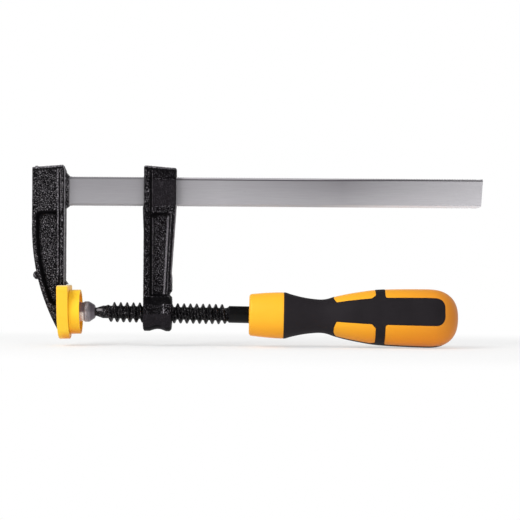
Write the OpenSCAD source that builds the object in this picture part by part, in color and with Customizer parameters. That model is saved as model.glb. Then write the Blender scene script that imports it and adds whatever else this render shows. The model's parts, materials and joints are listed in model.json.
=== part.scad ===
// Quick release bar clamp (F-clamp), 50 x 150 mm class.
// X runs along the bar, away from the fixed jaw. Z is up, towards the bar.
// The origin is the middle of the fixed jaw's clamping face.
// The clamp is drawn closed: the swivel pad rests against the fixed jaw.

/* [Bar] */
// Height of the flat bar
bar_height = 13.8; // [12:0.2:14.2]
// Thickness of the flat bar
bar_thickness = 5; // [4:0.2:6]
// Distance from the clamping face to the free end of the bar
bar_reach = 195; // [150:1:400]
// Distance from the screw up to the lower edge of the bar
throat_depth = 50.1; // [45:0.1:60]
// Slant of the sheared free end, in degrees
bar_end_slant = 3.8; // [0:0.2:5]
// Width of the bevel along the bar's four long edges
bar_bevel = 1.1; // [0.4:0.1:1.2]
// Pitch of the fine teeth on both narrow edges
tooth_pitch = 1.2; // [1:0.1:2]
// Depth of those teeth
tooth_depth = 0.25; // [0.1:0.05:0.4]
// Play of the sliding jaw round the bar
bar_play = 0.35; // [0.3:0.05:0.6]

/* [Jaws] */
// Thickness of both jaws across the flat cheeks
cheek_width = 11.2; // [10:0.2:12]
// Width of the flange that faces the work
flange_width = 12.6; // [12.4:0.2:14]
// Thickness of the fixed jaw's flange along the bar
fixed_flange = 2; // [1.8:0.1:3]
// Thickness of the sliding jaw's flange along the bar
sliding_flange = 3; // [2:0.1:3.4]
// Thickness of the web between the recesses
web_width = 5.6; // [4:0.2:8]
// Length of the fixed jaw's head along the bar
fixed_head = 15.4; // [15:0.2:18]
// Radius of the fixed jaw's curved back
back_radius = 100; // [95:1:120]
// Width of the rims round the recesses
rim = 2.2; // [1.8:0.1:2.6]
// How far the recess walls slope outwards
draft = 1.3; // [0.6:0.1:1.6]
// Slope of the clamping faces, in degrees
toe_in = 1.2; // [0:0.1:1.6]
// Distance from the clamping face to the closed sliding jaw
jaw_gap = 34.8; // [34:0.2:38]
// Length of the sliding jaw along the bar
sliding_head = 15.2; // [15:0.2:18]
// Length of the threaded boss
boss_length = 13.4; // [13:0.2:15]
// Radius of the threaded boss
boss_radius = 8.6; // [8.2:0.1:9.4]

/* [Pads] */
// Half width of the fixed jaw's plastic cap, which is also the radius of its round foot
cap_radius = 12; // [11.6:0.1:13]
// Distance from the middle of that cap to its flat top
cap_top = 12.5; // [12:0.1:13.4]
// How far that cap's round foot is centred below the middle
foot_drop = 0.9; // [0:0.1:1.4]
// Thickness of that cap along the bar
cap_depth = 5.6; // [5.2:0.1:6]
// Diameter of the swivel pad's round cap
pad_diameter = 20.9; // [20:0.1:23]
// Depth of that round cap
pad_depth = 4.85; // [4.6:0.05:5.4]
// Wall of both plastic caps at their clamping faces
pad_wall = 1.6; // [1.2:0.1:1.8]
// Gap left between the closed clamping faces
closed_gap = 0.3; // [0.3:0.1:0.8]

/* [Spindle] */
// Outer diameter of the right-handed thread
thread_diameter = 9.6; // [9:0.1:10.2]
// Root diameter of the thread
root_diameter = 6; // [5.8:0.1:6.6]
// Pitch of the thread
pitch = 3; // [2.8:0.1:3.2]
// Number of turns of thread
turns = 19; // [16:0.5:20]
// Diameter of the plain shank behind the thread
shank_diameter = 8; // [7.6:0.1:8.6]
// Diameter of the ball at the tip
ball_diameter = 6.4; // [6:0.1:6.6]
// Distance from the clamping face to the middle of the ball
ball_reach = 8.4; // [8.2:0.1:9]
// Downward tilt of the spindle, in degrees
spindle_dip = 0.75; // [0:0.05:1]
// Clearance round the thread and in the ball socket
clearance = 0.22; // [0.2:0.01:0.3]

/* [Handle] */
// Distance from the clamping face to the front of the handle
handle_start = 84.8; // [82:0.2:90]
// Largest radius of the handle
handle_radius = 13.8; // [13.6:0.1:14.5]
// Depth of the soft grip over the hard core
grip_depth = 1.6; // [1:0.1:2]
// How far the soft grip stands proud of the hard core
grip_proud = 0.12; // [0.06:0.02:0.3]
// Width of each soft panel, in degrees round the handle
panel_angle = 59; // [50:1:66]
// Turn of the first soft panel away from the bar, in degrees
panel_turn = 73.7; // [0:0.1:120]

/* [Hidden] */
$fn = 64;
over = 1; // how far a cutting shape runs past the face it cuts
panels = 3; // soft panels round the handle, with as many hard ones between

bar_low = throat_depth;
bar_high = bar_low + bar_height;
bar_middle = (bar_low + bar_high) / 2;
head_top = bar_high + 4.8; // mean height of both jaws
head_fall = 0.6; // how much one side of a head lies above or below the mean

flange_face = -2.45; // the fixed jaw's flange, set back from the clamping face
fixed_flange_back = flange_face - fixed_flange;
fixed_back = flange_face - fixed_head;
back_bend = bar_low - 10.4; // height at which the straight back starts to curve
jaw_foot = -9.5;
anvil_radius = cap_radius - 1.7;
anvil_top = cap_top - 1.7;
anvil_back = 1 - cap_depth;
cap_fit = 0.1; // gap between the cap and the anvil inside it

flange_back = jaw_gap + sliding_flange;
sliding_back = jaw_gap + sliding_head;
recess_low = 7.7;
recess_high = bar_low - 4.2;
recess_corner = 2;
flange_bevel = 0.6;
groove_depth = 0.6; // of the groove behind each flange
fixed_groove = 0.6; // width of that groove
sliding_groove = 0.9;
slack = draft * 1.07; // how far a recess has widened where it leaves the cheek

pad_face = closed_gap - ball_reach * cos(toe_in); // measured from the ball, as all of the pad is
pad_back = pad_face + pad_depth;
lip_face = pad_back - 1.1; // the lip that holds the cap on the pad's disc
disc_back = lip_face - 0.9;
hub_radius = 4.5;

thread_radius = thread_diameter / 2;
root_radius = root_diameter / 2;
ball_radius = ball_diameter / 2;
shank_radius = shank_diameter / 2;
neck_radius = 2;
neck_end = 4.2; // where the neck starts to widen
root_start = 7.2; // where it reaches the thread's root
segments = 30; // facets of one turn of thread
thread_start = 9.5; // first crest, measured from the ball, as all of the spindle is
thread_angle = 84; // where that crest lies round the spindle
thread_end = thread_start + turns * pitch;
shank_start = thread_end + 0.5;
handle_front = handle_start - ball_reach;
tang_depth = 52; // how far the spindle reaches into the handle
wing_length = 11;
wing_span = 11;
wing_width = 2.6;

grip_start = 16.4; // all of these are measured from the handle's front
island_start = 39.9;
ring_start = 59.5;
ring_end = 64;
panel_end = 92.7;
dome_start = 84;
handle_length = dome_start + 14.95;
dome_fullness = 2.5; // 2 is an ellipse, more is squarer

// Points of an arc about [x, y], from one angle to another
function arc(x, y, r, from, to, steps) =
    [for (i = [0:steps]) let (a = from + (to - from) * i / steps) [x + r * cos(a), y + r * sin(a)]];

// A point of a smooth curve between b and c, with a and d as their neighbours
function curve(a, b, c, d, t) =
    b + t / 2 * (c - a + t * (2 * a - 5 * b + 4 * c - d + t * (3 * (b - c) + d - a)));

// A smooth curve through a list of points
function smooth(keys, steps) = let (last = len(keys) - 1) concat(
    [for (i = [0:last - 1], j = [0:steps - 1])
        curve(keys[max(i - 1, 0)], keys[i], keys[i + 1], keys[min(i + 2, last)], j / steps)],
    [keys[last]]);

// Corners of a rectangle with its four corners cut off
function cut_rectangle(w, h, cut) = [for (s = [[1, 1], [-1, 1], [-1, -1], [1, -1]], side = [0, 1])
    let (high = s[0] * s[1] > 0 ? side : 1 - side)
    [s[0] * (w / 2 - cut * high), s[1] * (h / 2 - cut * (1 - high))]];

// A side outline, given as [x, z] points, made into a plate about the middle plane
module plate(outline, width) {
    translate([0, width / 2, 0]) rotate([90, 0, 0]) linear_extrude(width) polygon(outline);
}

// A cross section, given as [y, z] points, drawn out along the bar
module drawn(section, from, to) {
    translate([from, 0, 0]) rotate([90, 0, 90]) linear_extrude(to - from) polygon(section);
}

// An outline, given as [distance along the axis, radius] points, turned about the X axis
module turned(outline) {
    rotate([0, 90, 0]) rotate_extrude() polygon([for (p = outline) [p[1], p[0]]]);
}

// Both sides of a shape that is drawn on the far side
module both_sides() {
    children();
    mirror([0, 1, 0]) children();
}

// Places children, drawn with the ball at the origin, on the tilted spindle
module on_spindle() {
    translate([ball_reach, 0, 0]) rotate([0, spindle_dip, 0]) children();
}

// Places children, drawn with the ball at the origin, on the swivel pad
module on_pad() {
    translate([ball_reach, 0, 0]) rotate([0, -toe_in, 0]) children();
}

// The bar's section, with an even gap all round
module bar_space(gap, from, to) {
    translate([0, 0, bar_middle])
        drawn(cut_rectangle(bar_thickness + 2 * gap, bar_height + 2 * gap, bar_bevel), from, to);
}

// A recess with sloping walls, from the web out past the cheek
module recess(low, high) {
    count = len(low);
    near = web_width / 2;
    far = cheek_width / 2 + 0.2;
    both_sides() polyhedron(
        concat([for (p = low) [p[0], near, p[1]]], [for (p = high) [p[0], far, p[1]]]),
        concat([[for (i = [0:count - 1]) i]], [[for (i = [count - 1:-1:0]) count + i]],
            [for (i = [0:count - 1]) let (j = (i + 1) % count) [j, i, count + i, count + j]]));
}

// A jaw's flange, between two places along the bar and two heights
module flange(from, to, low, high) {
    translate([(from + to) / 2, 0, low]) linear_extrude(high - low)
        polygon(cut_rectangle(to - from, flange_width, flange_bevel));
}

// ---- Bar ----

// Points of one toothed edge
function teeth(z, inward, from, to) = [for (i = [0:floor((to - from) / tooth_pitch) - 1], half = [0, 1])
    [from + (i + half / 2) * tooth_pitch, z + inward * tooth_depth * half]];

module bar() {
    tail = fixed_back + 5;
    corner = 0.7;
    tip_low = bar_reach - (bar_height - corner) * tan(bar_end_slant);
    low_edge = teeth(bar_low, 1, flange_face + 3, bar_reach - 5);
    high_edge = teeth(bar_high, -1, flange_face + 3, bar_reach - 2);
    color("silver") intersection() {
        plate(concat([[tail, bar_low]], low_edge,
            [[tip_low - 2, bar_low], [tip_low, bar_low + corner], [bar_reach, bar_high]],
            [for (i = [len(high_edge) - 1:-1:0]) high_edge[i]], [[tail, bar_high]]), bar_thickness);
        bar_space(0, tail - over, bar_reach + over);
    }
}

// ---- Fixed jaw ----

// The jaw's curved back, moved inwards, between two heights
function back_curve(inward, high, low, steps) = let (r = back_radius - inward)
    arc(fixed_back + back_radius, back_bend, r,
        180 + asin((back_bend - high) / r), 180 + asin((back_bend - low) / r), steps);

// The recess, grown outwards by the given amount
function fixed_recess(grow) = let (
    low = recess_low - 3.6 - grow,
    high = recess_high + grow,
    front = fixed_flange_back - 1.6,
    inward = rim + draft - grow,
    corner = recess_corner)
    concat([back_curve(inward, back_bend, low, 1)[1] + [1.6, 0]], back_curve(inward, low + 1.5, back_bend, 8),
        arc(fixed_back + inward + corner, high - corner, corner, 180, 90, 4), [[front, high], [front, low]]);

// Outline of the fixed jaw's anvil and cap: a flat top and a round foot
module tombstone(r, top) {
    corner = 2.4;
    hull() {
        translate([0, -foot_drop]) circle(r);
        for (side = [-1, 1]) translate([side * (r - corner), top - corner]) circle(corner, $fn = 24);
    }
}

// The collar that slopes from the flange down to the bar
module bar_collar() {
    start = flange_face - over;
    hull() {
        translate([0, 0, bar_middle + 0.3])
            drawn(cut_rectangle(9, bar_height + 3.8, 1.2), start, flange_face);
        translate([0, 0, bar_middle])
            drawn(cut_rectangle(bar_thickness + 0.8, bar_height + 0.4, bar_bevel), start, -0.5);
    }
}

// The small round marks that the mould leaves on top of the head
module mould_marks() {
    for (x = [fixed_back + 1.6, flange_face - 2])
        translate([x, 0, head_top + head_fall * (1 - 2 * (flange_face - x) / fixed_head) - 1])
            cylinder(r = 0.9, h = 1.3);
}

module fixed_jaw() {
    top = head_top + head_fall;
    flange_top = top - 1.2;
    shoulder = flange_top - 1.6; // where the flange's front starts to slope back
    slope = 1.2;
    sill_high = 14.8; // ends of the slope from the flange down to the cap
    sill_low = cap_top + 0.3;
    sill_width = 8;
    lug = back_curve(0, back_bend, 17.2, 1)[1];
    color("dimgray") difference() {
        union() {
            plate(concat([[flange_face, shoulder], [flange_face - slope, top],
                [fixed_back, head_top - head_fall]], back_curve(0, back_bend, jaw_foot, 12),
                [[flange_face, jaw_foot]]), cheek_width);
            flange(fixed_flange_back, flange_face, jaw_foot, shoulder);
            plate([[fixed_flange_back, shoulder - over], [flange_face, shoulder - over],
                [flange_face, shoulder], [flange_face - slope, flange_top],
                [fixed_flange_back, flange_top]], flange_width - 2 * flange_bevel);
            bar_collar();
            plate([[flange_face - over, sill_high], [flange_face, sill_high], [-1, sill_low],
                [flange_face - over, sill_low]], sill_width);
            translate([lug[0], 0, lug[1]]) rotate([90, 0, 0]) cylinder(r = 2.1, h = 7, center = true);
            mould_marks();
            rotate([0, -toe_in, 0]) translate([anvil_back, 0, 0]) rotate([90, 0, 90])
                linear_extrude(-pad_wall - anvil_back) tombstone(anvil_radius, anvil_top);
        }
        bar_space(0, fixed_back + 5, over);
        recess(fixed_recess(0), fixed_recess(slack));
        both_sides() translate([fixed_flange_back - fixed_groove, cheek_width / 2 - groove_depth, cap_top])
            cube([fixed_groove, over, head_top - cap_top - 3]);
    }
}

module fixed_jaw_cap() {
    front_edge = 0.4;
    back_edge = 0.8;
    opening = flange_width / 2 + 0.2;
    opening_low = jaw_foot - 1.4;
    color("gold") rotate([0, -toe_in, 0]) rotate([90, 0, 90]) difference() {
        hull() {
            translate([0, 0, -cap_depth]) linear_extrude(cap_depth - front_edge)
                tombstone(cap_radius - back_edge, cap_top - back_edge);
            translate([0, 0, back_edge - cap_depth]) linear_extrude(cap_depth - back_edge - front_edge)
                tombstone(cap_radius, cap_top);
            translate([0, 0, -over]) linear_extrude(over)
                tombstone(cap_radius - front_edge, cap_top - front_edge);
        }
        translate([0, 0, anvil_back - cap_fit]) linear_extrude(-pad_wall - anvil_back + cap_fit)
            tombstone(anvil_radius + cap_fit, anvil_top + cap_fit);
        translate([-opening, opening_low, -cap_depth - over])
            cube([2 * opening, cap_top - opening_low + 2, cap_depth + over - pad_wall]);
    }
}

// ---- Spindle ----

// Angle round the spindle of the crest at a distance from the ball
function crest_angle(s) = thread_angle + 360 * (s - thread_start) / pitch;

// A threaded rod as one closed surface. The ridge runs on from the first crest for a number of turns
// and fades in and out over the given part of a turn. Extra makes it larger all round.
module threaded_rod(first, count, fade, plain, extra) {
    steps = count * segments;
    root = root_radius + extra;
    crest = thread_radius + extra;
    ridge = [[-pitch * 0.4 - extra, 0], [-pitch * 0.1 - extra, 1], [pitch * 0.1 + extra, 1],
        [pitch * 0.4 + extra, 0]];
    function around(x, r, a) = [x, r * cos(a), r * sin(a)];
    function height(i) = min(1, (i + 1) / (fade * segments), (steps - i + 1) / (fade * segments));
    function at(i) = first + pitch * i / segments;
    thread_points = [for (i = [0:steps], p = ridge)
        around(at(i) + p[0], root + (crest - root) * p[1] * height(i), crest_angle(at(i)))];
    low_ring = [for (j = [0:segments - 1]) around(first - plain, root, crest_angle(at(j)))];
    high_ring = [for (j = [0:segments - 1]) around(at(steps) + plain, root, crest_angle(at(steps + j)))];
    low = 4 * (steps + 1); // where the points of the low ring start
    high = low + segments;
    lead = steps - segments;
    polyhedron(concat(thread_points, low_ring, high_ring), concat(
        [for (i = [0:steps - 1], k = [0:2]) [4 * i + k, 4 * i + k + 1, 4 * i + k + 5, 4 * i + k + 4]],
        [for (i = [0:lead - 1]) let (n = 4 * (i + segments)) [4 * i + 3, n, n + 4, 4 * i + 7]],
        [for (j = [0:segments - 2]) [low + j, 4 * j, 4 * j + 4, low + j + 1]],
        [for (p = [[4 * segments - 4, 4 * segments], [4 * segments, 3], [3, 0], [0, low]])
            [high - 1, p[0], p[1]]],
        [[3, 2, 1, 0]],
        [for (j = [1:segments - 1]) let (i = 4 * (lead + j))
            [i + 3, high + j, high + (j + 1) % segments, i + 7]],
        [for (p = [[4 * lead + 7, 4 * lead + 3], [4 * lead + 3, 4 * steps], [4 * steps, 4 * steps + 3],
            [4 * steps + 3, high]]) [high + 1, p[0], p[1]]],
        [[for (k = [0:3]) 4 * steps + k]],
        [[for (j = [0:segments - 1]) low + j]],
        [[for (j = [segments - 1:-1:0]) high + j]]));
}

// The flattened wings that stop the spindle turning in the handle
module wings(gap) {
    translate([handle_front + tang_depth - wing_length - gap, -wing_width / 2 - gap, -wing_span / 2 - gap])
        cube([wing_length + gap, wing_width + 2 * gap, wing_span + 2 * gap]);
}

module spindle() {
    tang_end = handle_front + tang_depth;
    runout = shank_start - 1.5; // where the shank starts to rise from the thread's root
    color("black") on_spindle() union() {
        sphere(ball_radius);
        turned([[0, 0], [0, neck_radius], [neck_end, neck_radius], [root_start + 0.3, root_radius - 0.1],
            [root_start + over, root_radius - 0.5], [root_start + over, 0]]);
        threaded_rod(thread_start, turns, 0.7, thread_start - root_start, 0);
        turned([[runout, 0], [runout, root_radius - 0.2], [shank_start, shank_radius],
            [tang_end, shank_radius], [tang_end, 0]]);
        wings(0);
    }
}

// ---- Sliding jaw ----

// The recess, grown outwards by the given amount
function sliding_recess(grow) = let (
    low = recess_low + 1 - grow,
    high = recess_high + grow,
    front = flange_back + 1.6 - grow,
    back_low = jaw_gap + boss_length - rim - draft + grow,
    back_high = sliding_back - rim - draft + grow,
    corner = recess_corner)
    concat([[front, low]], arc(front + corner, high - corner, corner, 180, 90, 4),
        arc(back_high - corner, high - corner, corner, 90, 0, 4), [[back_low, low]]);

// The threaded boss, with a waist between its two ends
module boss(start, end) {
    corner = 0.9;
    waist = [[3, 0], [5.4, 0.8], [7, 1], [8.6, 0.8], [10.8, 0]]; // places along the boss, and its depth there
    turned(concat([[start, 0], [start, boss_radius - corner], [start + corner / 2, boss_radius]],
        smooth([for (p = waist) [start + p[0], boss_radius - p[1]]], 3),
        [[end - corner, boss_radius], [end, boss_radius - corner], [end, 0]]));
}

module sliding_jaw() {
    boss_start = jaw_gap - ball_reach;
    boss_end = boss_start + boss_length;
    foot = -4;
    flange_high = head_top + head_fall - 0.6;
    arm_back = jaw_gap + boss_length - 1;
    heel = 1; // how much thicker the arm's back rim is at its lower end
    heel_low = 10;
    heel_high = 16.4;
    lip = 0.5; // how far the flange stands out below the bar
    lip_low = bar_low - 12;
    rail_start = flange_back + 1.2; // the cheeks stand out a little beside the bar
    rail_high = bar_high - 1.6;
    nut_turns = 9;
    nut_start = thread_start + 4 * pitch;
    lead_in = thread_radius + clearance + 0.5;
    color("black") difference() {
        union() {
            plate([[jaw_gap + 0.4, foot], [jaw_gap + 0.4, head_top + head_fall],
                [sliding_back, head_top - head_fall], [sliding_back, bar_low],
                [arm_back + heel - 0.3, heel_high + 1.8], [arm_back + heel, heel_high],
                [arm_back + heel, heel_low], [arm_back, heel_low - 1.4], [arm_back, foot]], cheek_width);
            flange(jaw_gap, flange_back, foot, flange_high);
            plate([[jaw_gap + over, lip_low], [jaw_gap, lip_low], [jaw_gap - lip, bar_low - 0.6],
                [jaw_gap, bar_low], [jaw_gap + over, bar_low]], flange_width - 2 * flange_bevel);
            plate([[rail_start, bar_low], [sliding_back, bar_low], [sliding_back, rail_high],
                [rail_start, rail_high]], cheek_width + 0.5);
            on_spindle() boss(boss_start, boss_end);
        }
        bar_space(bar_play, jaw_gap - over, sliding_back + over);
        recess(sliding_recess(0), sliding_recess(slack));
        both_sides() translate([flange_back, cheek_width / 2 - groove_depth, recess_low])
            cube([sliding_groove, over, head_top - recess_low - 3]);
        on_spindle() union() {
            threaded_rod(nut_start, nut_turns, 0.01, 3, clearance);
            for (end = [[boss_start, 0], [boss_end, 1]])
                translate([end[0], 0, 0]) mirror([end[1], 0, 0])
                    turned([[-over, 0], [-over, lead_in + over], [lead_in - root_radius, root_radius],
                        [lead_in - root_radius, 0]]);
        }
    }
}

// ---- Swivel pad ----

module swivel_pad() {
    disc_radius = pad_diameter / 2 - 1.35;
    disc_face = pad_face + pad_wall;
    barrel = 4.88;
    barrel_start = -1.5;
    mouth = 3.6;
    mouth_radius = neck_radius + clearance;
    color("slategray") on_pad() difference() {
        turned([[disc_face, 0], [disc_face, disc_radius - 0.3], [disc_face + 0.3, disc_radius],
            [disc_back - 0.3, disc_radius], [disc_back, disc_radius - 0.3], [disc_back, hub_radius],
            [barrel_start, hub_radius], [barrel_start, barrel - 0.15], [barrel_start + 0.15, barrel],
            [0.3, barrel], [0.9, barrel - 0.2], [mouth - 0.3, 3.1], [mouth, mouth_radius + 0.5], [mouth, 0]]);
        sphere(ball_radius + clearance);
        turned([[0, 0], [0, mouth_radius], [mouth - 0.6, mouth_radius],
            [mouth + over, mouth_radius + 0.6], [mouth + over, 0]]);
    }
}

module pad_cap() {
    r = pad_diameter / 2;
    pocket = r - 1.25;
    color("gold") on_pad() turned([[pad_face, 0], [pad_face, r - 0.7], [pad_face + 0.2, r - 0.25],
        [pad_face + 0.7, r], [pad_back, r], [pad_back, r - 0.9], [lip_face, r - 1.1],
        [lip_face, hub_radius + 0.9], [disc_back + 0.05, hub_radius + 0.9], [disc_back + 0.05, pocket],
        [pad_face + pad_wall, pocket], [pad_face + pad_wall, 0]]);
}

// ---- Handle ----

// Outside of the handle as [distance from its front, radius] points
function handle_outline(grow) = let (widest = handle_radius, edge = 1.4)
    concat([[0, 8.5 + grow]], arc(edge, 8.5, edge + grow, 150, 105, 2),
        smooth([for (p = [[1.4, 9.95], [9, 10.65], [grip_start, 10.9], [20, 9.95], [26, 8.6], [32.5, 7.85],
            [36.5, 8.1], [41, 9.5], [46.7, 10.85], [52.4, 11.9], [58.2, 12.8], [64, 13.25], [73, 13.6],
            [dome_start, widest]]) [p[0], p[1] + grow]], 3),
        [for (a = [12:13:77]) let (t = sin(a)) [dome_start + (handle_length - dome_start) * t,
            widest * pow(1 - pow(t, dome_fullness), 1 / dome_fullness) + grow]]);

module handle_solid(grow) {
    outline = handle_outline(grow);
    last = outline[len(outline) - 1];
    turned(concat([[0, 0]], outline,
        grow < 0 ? [[last[0], 0]] : [[handle_length - 0.15, last[1] * 0.45], [handle_length, 0]]));
}

// A wedge of the handle, as wide as the angle, between two distances from its front
module wedge(angle, from, to) {
    reach = 2 * handle_radius;
    drawn([[0, 0], [reach * sin(angle / 2), reach * cos(angle / 2)],
        [-reach * sin(angle / 2), reach * cos(angle / 2)]], from, to);
}

// The places where the soft grip covers the core
module grip_places() {
    reach = handle_radius + 2;
    side = handle_radius * sin(panel_angle / 2);
    end_round = 3.6;
    island_angle = 360 / panels - panel_angle;
    island_side = (handle_radius - 1) * sin(island_angle / 2);
    difference() {
        turned([[grip_start, 0], [grip_start, reach], [ring_end, reach], [ring_end, 0]]);
        for (k = [0:panels - 1]) rotate([panel_turn + (k + 0.5) * 360 / panels, 0, 0]) intersection() {
            wedge(island_angle, island_start - over, ring_start);
            linear_extrude(reach) polygon(concat(
                [for (t = [-1:0.25:1]) [island_start + 1.1 * t * t, t * island_side * 1.05]],
                [[ring_start - 2, island_side], [ring_start, island_side - 2],
                    [ring_start, 2 - island_side], [ring_start - 2, -island_side]]));
        }
    }
    for (k = [0:panels - 1]) rotate([panel_turn + k * 360 / panels, 0, 0]) intersection() {
        wedge(panel_angle, ring_end - over, panel_end);
        linear_extrude(reach) polygon(concat(
            [[ring_end - over, -side - 1], [panel_end - end_round, -side - 1]],
            arc(panel_end - end_round, end_round - side, end_round, -90, 0, 5),
            arc(panel_end - end_round, side - end_round, end_round, 0, 90, 5),
            [[panel_end - end_round, side + 1], [ring_end - over, side + 1]]));
    }
}

module handle_core() {
    bore = shank_radius + 0.05;
    color("orange") on_spindle() difference() {
        translate([handle_front, 0, 0]) difference() {
            handle_solid(0);
            intersection() {
                difference() {
                    handle_solid(grip_proud);
                    handle_solid(-grip_depth);
                }
                grip_places();
            }
        }
        turned([[handle_front - over, 0], [handle_front - over, bore], [handle_front + tang_depth, bore],
            [handle_front + tang_depth, 0]]);
        wings(0.05);
    }
}

module handle_grip() {
    color("darkslategray") on_spindle() translate([handle_front, 0, 0]) intersection() {
        difference() {
            handle_solid(grip_proud);
            handle_solid(-grip_depth);
        }
        grip_places();
    }
}

bar();
fixed_jaw();
fixed_jaw_cap();
sliding_jaw();
swivel_pad();
pad_cap();
spindle();
handle_core();
handle_grip();
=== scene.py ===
import json
import math
import bpy
import numpy as np
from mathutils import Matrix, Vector, noise
from mathutils.geometry import delaunay_2d_cdt


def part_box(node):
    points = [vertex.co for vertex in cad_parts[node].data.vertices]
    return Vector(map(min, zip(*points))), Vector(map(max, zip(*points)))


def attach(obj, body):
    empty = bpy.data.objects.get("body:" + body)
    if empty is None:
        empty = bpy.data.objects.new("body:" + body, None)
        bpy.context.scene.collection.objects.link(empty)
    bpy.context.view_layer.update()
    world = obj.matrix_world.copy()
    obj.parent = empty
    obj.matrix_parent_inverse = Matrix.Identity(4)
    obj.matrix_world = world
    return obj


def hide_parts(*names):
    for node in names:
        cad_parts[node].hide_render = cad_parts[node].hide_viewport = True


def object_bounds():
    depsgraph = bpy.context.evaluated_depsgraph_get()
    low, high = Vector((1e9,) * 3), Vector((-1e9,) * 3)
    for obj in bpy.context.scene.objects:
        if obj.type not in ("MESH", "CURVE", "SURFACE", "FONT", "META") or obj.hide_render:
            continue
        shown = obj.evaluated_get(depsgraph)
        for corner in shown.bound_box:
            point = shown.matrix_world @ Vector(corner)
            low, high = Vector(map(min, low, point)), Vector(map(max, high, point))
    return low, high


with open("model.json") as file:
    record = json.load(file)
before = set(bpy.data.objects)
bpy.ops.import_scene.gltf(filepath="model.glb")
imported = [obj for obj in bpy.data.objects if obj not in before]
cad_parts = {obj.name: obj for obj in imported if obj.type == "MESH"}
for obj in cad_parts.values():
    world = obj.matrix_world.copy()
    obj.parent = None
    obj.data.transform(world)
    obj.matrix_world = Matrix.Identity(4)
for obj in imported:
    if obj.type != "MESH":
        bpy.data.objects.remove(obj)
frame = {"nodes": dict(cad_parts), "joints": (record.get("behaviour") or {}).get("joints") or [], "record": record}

mm = .001
nodes = frame["nodes"]
record = frame["record"]
bodyOf = {node: body for body, members in record["behaviour"]["bodies"].items() for node in members}
screwTurn = next(joint for joint in frame["joints"] if joint["name"] == "screw_turn")
cadLow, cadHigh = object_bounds()
scene = bpy.context.scene
scene.view_settings.view_transform = "Standard"
print("frame loaded:", ", ".join(sorted(nodes)))


class Shade:
    # wraps a shader socket, so that shader sums can be written as sums
    def __init__(self, tree, socket=None):
        self.tree, self.socket = tree, socket

    def node(self, kind, settings=None, output=0, **sockets):
        made = self.tree.nodes.new("ShaderNode" + kind)
        for name, value in (settings or {}).items():
            if name == "stops":                   # a colour ramp's (place, colour) pairs
                stops = made.color_ramp.elements
                while len(stops) < len(value):
                    stops.new(1)
                for stop, (at, tint) in zip(stops, value):
                    stop.position, stop.color = at, tint
            else:
                setattr(made, name, value)
        for name, value in sockets.items():       # i0 is the first input, Base_Color the one called Base Color
            numbered = name[0] == "i" and name[1:].isdigit()
            fill(made.inputs[int(name[1:]) if numbered else name.replace("_", " ")], value)
        return Shade(self.tree, made.outputs[output])

    def maths(self, operation, *values):
        return self.node("Math", {"operation": operation}, **{"i%d" % i: v for i, v in enumerate(values)})

    def __add__(self, other): return self.maths("ADD", self, other)
    def __radd__(self, other): return self.maths("ADD", other, self)
    def __sub__(self, other): return self.maths("SUBTRACT", self, other)
    def __rsub__(self, other): return self.maths("SUBTRACT", other, self)
    def __mul__(self, other): return self.maths("MULTIPLY", self, other)
    def __rmul__(self, other): return self.maths("MULTIPLY", other, self)
    def __pow__(self, other): return self.maths("POWER", self, other)

    def larger(self, other):
        return self.maths("MAXIMUM", self, other)

    def smaller(self, other):
        return self.maths("MINIMUM", self, other)

    def step(self, low, high):                    # 0 below low, 1 above high, smooth between them
        return self.node("MapRange", {"interpolation_type": "SMOOTHSTEP"},
                         Value=self, From_Min=low, From_Max=high)

    def mix(self, first, second):                 # this value blends two colours
        return self.node("Mix", {"data_type": "RGBA"}, 2, i0=self, i6=first, i7=second)

    def bump(self, distance, strength=1.0):       # this value as a height, for a Normal
        return self.node("Bump", Height=self, Distance=distance, Strength=strength)

    def split(self):                              # the x, y and z of this vector
        return [self.node("SeparateXYZ", output=i, Vector=self) for i in range(3)]


def fill(socket, value):
    # links or sets an input
    if isinstance(value, Shade):
        value.tree.links.new(value.socket, socket)
    else:
        socket.default_value = value


def colour(red, green, blue):
    # screen values from 0 to 255, as linear light
    linear = [c / 255 / 12.92 if c <= 10 else ((c / 255 + .055) / 1.055) ** 2.4 for c in (red, green, blue)]
    return (*linear, 1)


def material(name):
    # a new material, its shader and the object's own coordinates in metres, from which a finish is built
    made = bpy.data.materials.new(name)
    made.use_nodes = True
    return made, made.node_tree.nodes["Principled BSDF"], Shade(made.node_tree).node("TexCoord", output=3)


def plug(shader, **sockets):
    for name, value in sockets.items():
        fill(shader.inputs[name.replace("_", " ")], value)


def cloud(spot, size, detail=2, roughness=.5, stretch=(1, 1, 1)):
    # noise with lumps of about the given size in metres, from 0 to 1
    stretched = spot.node("Mapping", Vector=spot, Scale=stretch)
    return stretched.node("TexNoise", Vector=stretched, Scale=1 / size, Detail=detail, Roughness=roughness)


# Camera, floor and light

view = {"pixel": .474 * mm, "pixels": 520, "distance": .9, "x": 89.8 * mm, "z": 25.0 * mm, "roll": -.41,
        "nearest": .01}


def makeCamera():
    camera = bpy.data.objects.new("camera", bpy.data.cameras.new("camera"))
    scene.collection.objects.link(camera)
    halfWidth = view["pixel"] * view["pixels"] / 2
    camera.data.lens = camera.data.sensor_width / 2 * view["distance"] / halfWidth
    camera.location = (view["x"], -view["distance"], view["z"])
    camera.rotation_euler = (math.radians(90), math.radians(view["roll"]), 0)
    camera.data.clip_start = view["nearest"]
    scene.camera = camera


makeCamera()
print("camera placed")

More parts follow.
